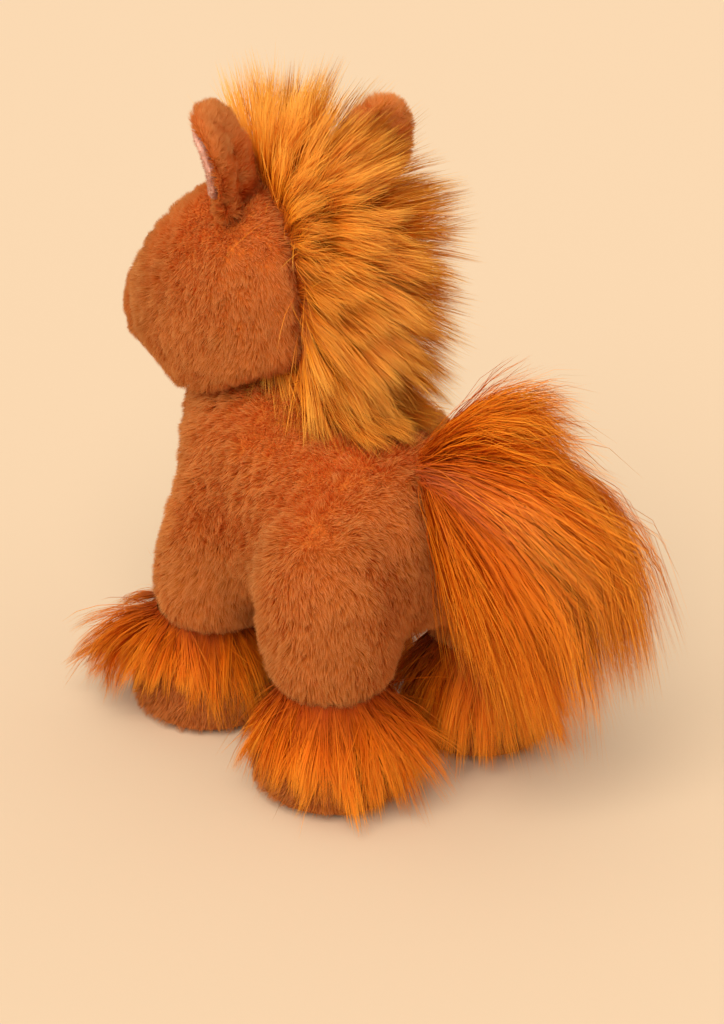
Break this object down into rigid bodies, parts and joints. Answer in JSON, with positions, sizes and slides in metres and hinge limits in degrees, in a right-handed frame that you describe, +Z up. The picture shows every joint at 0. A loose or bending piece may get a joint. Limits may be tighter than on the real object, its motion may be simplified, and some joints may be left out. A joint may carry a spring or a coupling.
{
  "type": "plush horse",
  "caption": "Standing plush horse with short orange-brown pile, a long-haired mane and tail, feathered feet, folding ears and a head that turns and nods.",
  "frame": {"origin": "on the floor, under the middle of the whole toy", "axes": "+Z up, -Y the way the horse faces, +X its left side"},
  "size_m": [0.1548, 0.2734, 0.2688],
  "materials": {
    "plush": "short soft orange-brown pile, matt",
    "hoof_plush": "short dark brown pile, matt",
    "long_pile": "long silky golden-orange pile, paler at the tips",
    "lining": "pale pink velour, matt",
    "stuffing": "loose white polyester fibre",
    "thread": "dark brown sewing and embroidery thread",
    "eye_black": "polished black",
    "nylon": "plain moulded nylon"
  },
  "bodies": {
    "torso": {"body_cover": "plush", "body_stuffing": "stuffing", "leg_cover_front_left": "plush", "foot_cover_front_left": "hoof_plush", "sole_front_left": "hoof_plush", "leg_stuffing_front_left": "stuffing", "feather_front_left": "long_pile", "leg_cover_hind_left": "plush", "foot_cover_hind_left": "hoof_plush", "sole_hind_left": "hoof_plush", "leg_stuffing_hind_left": "stuffing", "feather_hind_left": "long_pile", "leg_cover_front_right": "plush", "foot_cover_front_right": "hoof_plush", "sole_front_right": "hoof_plush", "leg_stuffing_front_right": "stuffing", "feather_front_right": "long_pile", "leg_cover_hind_right": "plush", "foot_cover_hind_right": "hoof_plush", "sole_hind_right": "hoof_plush", "leg_stuffing_hind_right": "stuffing", "feather_hind_right": "long_pile", "mane_neck": "long_pile"},
    "neck_seam": {"neck_seam_thread": "thread"},
    "head": {"head_cover": "plush", "head_stuffing": "stuffing", "muzzle_cover": "plush", "eye_left": "eye_black", "eye_washer_left": "nylon", "eye_right": "eye_black", "eye_washer_right": "nylon", "nostril_left": "thread", "nostril_right": "thread", "mouth_stitch": "thread", "mane_head": "long_pile"},
    "ear_left": {"ear_cover_left": "plush", "ear_lining_left": "lining"},
    "ear_right": {"ear_cover_right": "plush", "ear_lining_right": "lining"},
    "tail_root": {"tail_root": "thread"},
    "tail": {"tail_pile": "long_pile"}
  },
  "joints": [
    {"name": "head_turn", "type": "hinge", "parent": "torso", "child": "neck_seam", "pos_m": [0, -0.04865, 0.136], "axis": [0, -0.454, 0.891], "range_deg": [-25, 25], "stiffness_Nm_per_rad": 1},
    {"name": "head_nod", "type": "hinge", "parent": "neck_seam", "child": "head", "pos_m": [0, -0.04865, 0.136], "axis": [1, 0, 0], "range_deg": [-8, 10], "stiffness_Nm_per_rad": 1.2},
    {"name": "ear_left_fold", "type": "hinge", "parent": "head", "child": "ear_left", "pos_m": [0.03199, -0.03736, 0.22813], "axis": [0.7715, 0.3385, -0.5386], "range_deg": [-48, 25], "stiffness_Nm_per_rad": 0.004},
    {"name": "ear_right_fold", "type": "hinge", "parent": "head", "child": "ear_right", "pos_m": [-0.032, -0.03732, 0.22815], "axis": [0.7717, -0.3341, 0.5412], "range_deg": [-10, 63], "stiffness_Nm_per_rad": 0.004},
    {"name": "tail_swing", "type": "hinge", "parent": "torso", "child": "tail_root", "pos_m": [0, 0.05615, 0.13394], "axis": [0, 0, 1], "range_deg": [-20, 20], "stiffness_Nm_per_rad": 0.3},
    {"name": "tail_lift", "type": "hinge", "parent": "tail_root", "child": "tail", "pos_m": [0, 0.05615, 0.13394], "axis": [1, 0, 0], "range_deg": [-6, 30], "stiffness_Nm_per_rad": 0.4}
  ]
}
